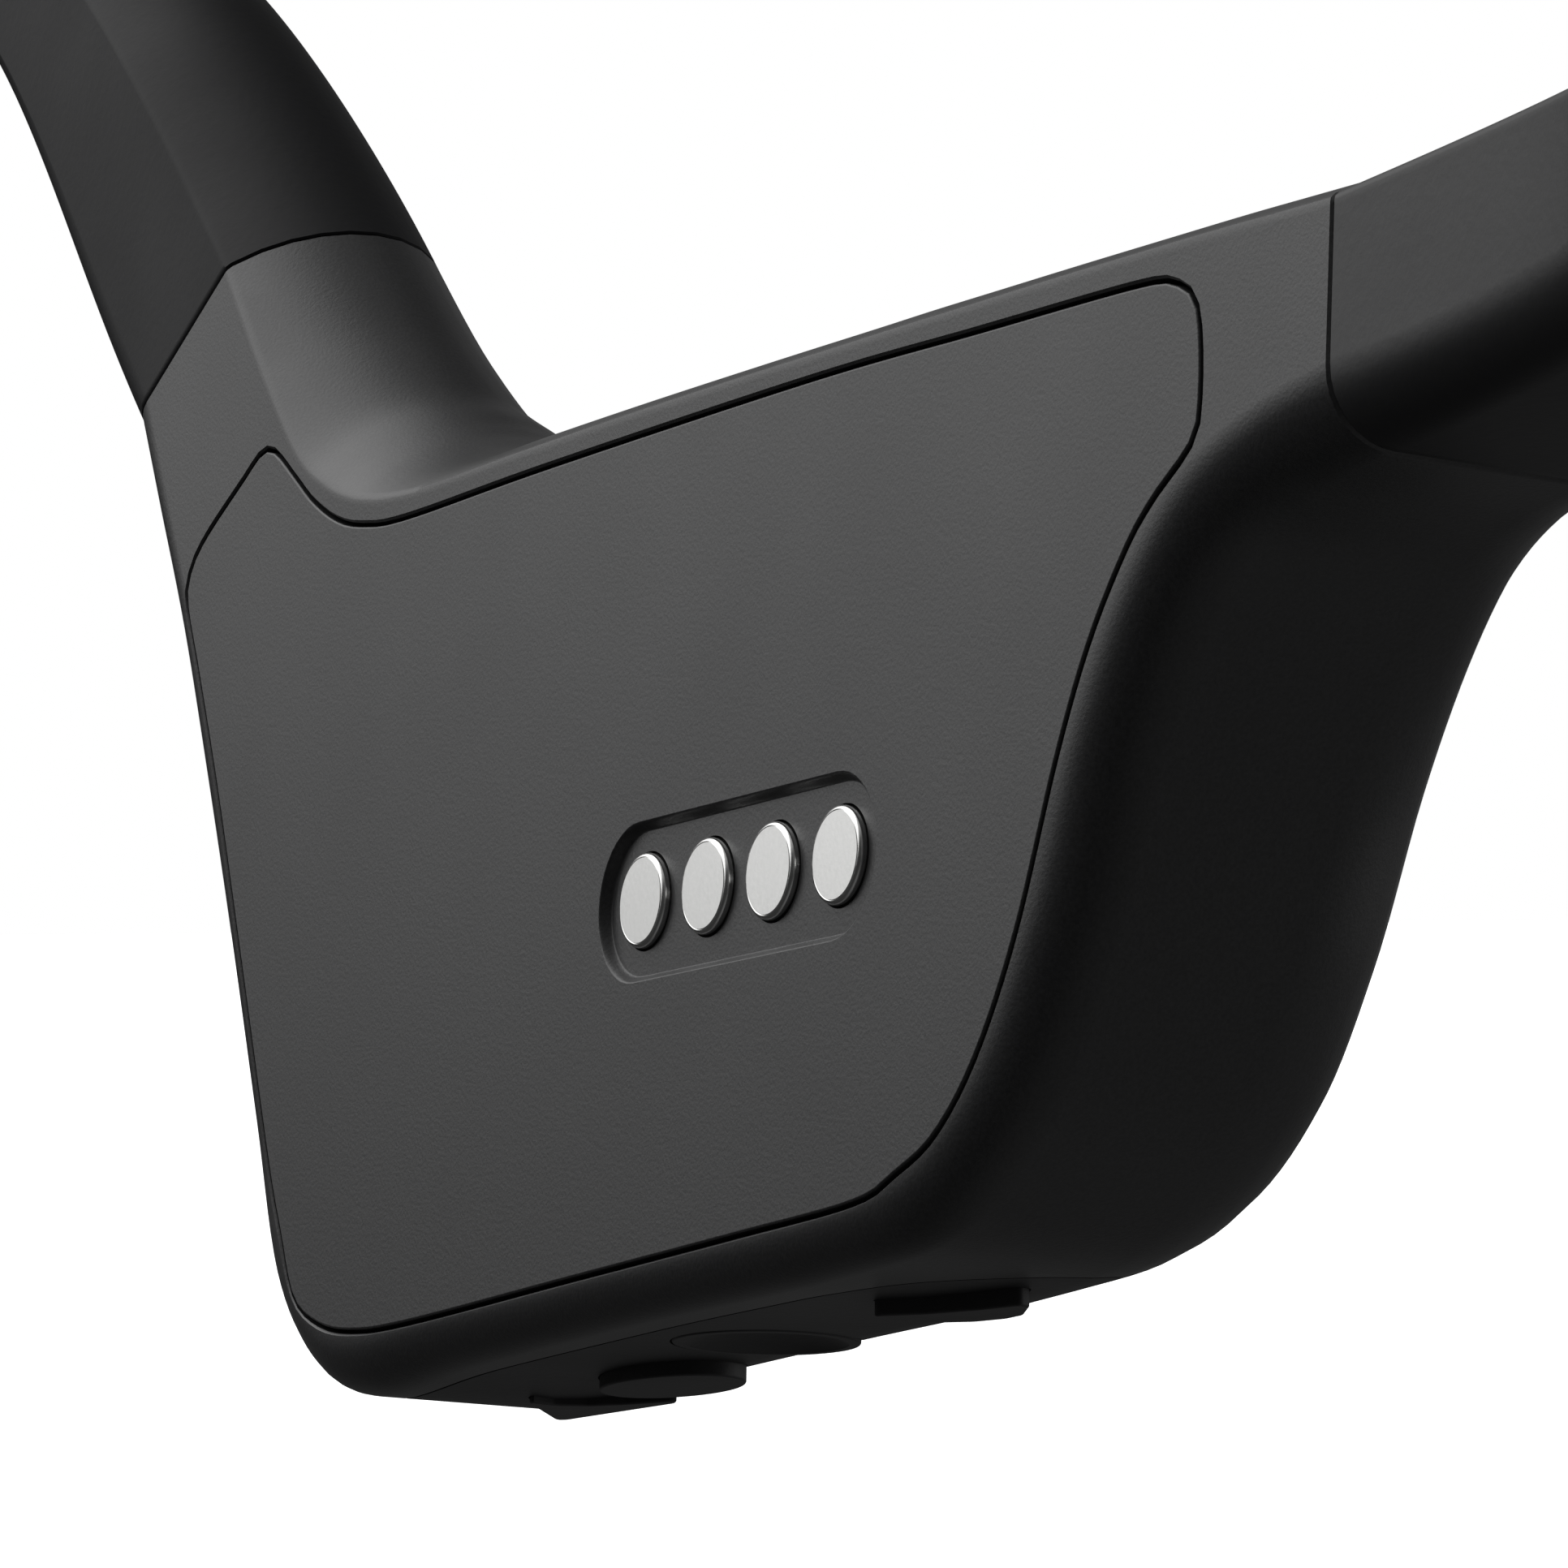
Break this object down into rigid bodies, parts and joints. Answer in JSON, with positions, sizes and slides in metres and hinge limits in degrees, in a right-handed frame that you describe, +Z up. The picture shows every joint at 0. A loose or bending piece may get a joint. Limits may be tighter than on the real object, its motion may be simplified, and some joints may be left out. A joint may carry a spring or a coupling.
{
  "type": "bone conduction headphones",
  "caption": "Wrap-around bone conduction headphones: pods behind the ears, hooks over them to cheekbone pads, a sprung neckband, charging contacts in a pocket and buttons under the right pod.",
  "frame": {"origin": "middle of the wearer's head, half way between the two skin pads", "axes": "+Z up, the wearer looks along -Y, the neckband runs behind the head at +Y, the right pod is at -X"},
  "size_m": [0.1072, 0.127, 0.0371],
  "materials": {
    "shell": "fine matte grain",
    "silicone": "soft matte",
    "contact_metal": "polished",
    "steel": "satin",
    "circuit_board": "solder mask",
    "chip": "moulded",
    "copper": "enamelled",
    "battery_foil": "laminated foil"
  },
  "bodies": {
    "left_side": {"left_ear_hook_sleeve": "silicone", "left_neckband_sleeve": "silicone", "left_pod_shell": "shell", "left_inner_cover": "shell", "left_cover_gasket": "silicone", "left_ear_hook_wire": "steel", "left_ear_hook_lead": "copper", "left_neckband_wire": "steel", "left_neckband_lead": "copper", "left_transducer_housing": "shell", "left_skin_pad": "silicone", "left_yoke": "steel", "left_magnet": "steel", "left_pole_plate": "steel", "left_voice_coil": "copper", "left_spring_plate": "steel", "battery_cell": "battery_foil", "protection_board": "circuit_board"},
    "right_side": {"right_ear_hook_sleeve": "silicone", "right_neckband_sleeve": "silicone", "right_pod_shell": "shell", "right_inner_cover": "shell", "right_cover_gasket": "silicone", "right_ear_hook_wire": "steel", "right_ear_hook_lead": "copper", "right_neckband_wire": "steel", "right_neckband_lead": "copper", "right_transducer_housing": "shell", "right_skin_pad": "silicone", "right_yoke": "steel", "right_magnet": "steel", "right_pole_plate": "steel", "right_voice_coil": "copper", "right_spring_plate": "steel", "contact_pin_1": "contact_metal", "contact_pin_2": "contact_metal", "contact_pin_3": "contact_metal", "contact_pin_4": "contact_metal", "contact_block": "chip", "button_strip": "silicone", "main_board": "circuit_board", "memory_chip": "chip", "processor_can": "steel", "switch_board": "circuit_board", "play_switch": "steel", "previous_switch": "steel", "mode_switch": "steel", "next_switch": "steel"},
    "play_press": {"play_button": "silicone"},
    "previous_press": {"previous_button": "silicone"},
    "mode_press": {"mode_button": "silicone"},
    "next_press": {"next_button": "silicone"}
  },
  "joints": [
    {"name": "neckband_flex", "type": "hinge", "parent": "left_side", "child": "right_side", "pos_m": [0, 0.11745, 0.0155], "axis": [0, 0, -1], "range_deg": [-4, 28], "stiffness_Nm_per_rad": 0.22},
    {"name": "play_travel", "type": "slide", "parent": "right_side", "child": "play_press", "axis": [-0.1006, -0.1824, 0.9781], "range_m": [0, 0.0003], "stiffness_N_per_m": 6000},
    {"name": "previous_travel", "type": "slide", "parent": "right_side", "child": "previous_press", "axis": [-0.1006, -0.1824, 0.9781], "range_m": [0, 0.0003], "stiffness_N_per_m": 6000},
    {"name": "mode_travel", "type": "slide", "parent": "right_side", "child": "mode_press", "axis": [-0.1006, -0.1824, 0.9781], "range_m": [0, 0.0003], "stiffness_N_per_m": 6000},
    {"name": "next_travel", "type": "slide", "parent": "right_side", "child": "next_press", "axis": [-0.1006, -0.1824, 0.9781], "range_m": [0, 0.0003], "stiffness_N_per_m": 6000}
  ]
}
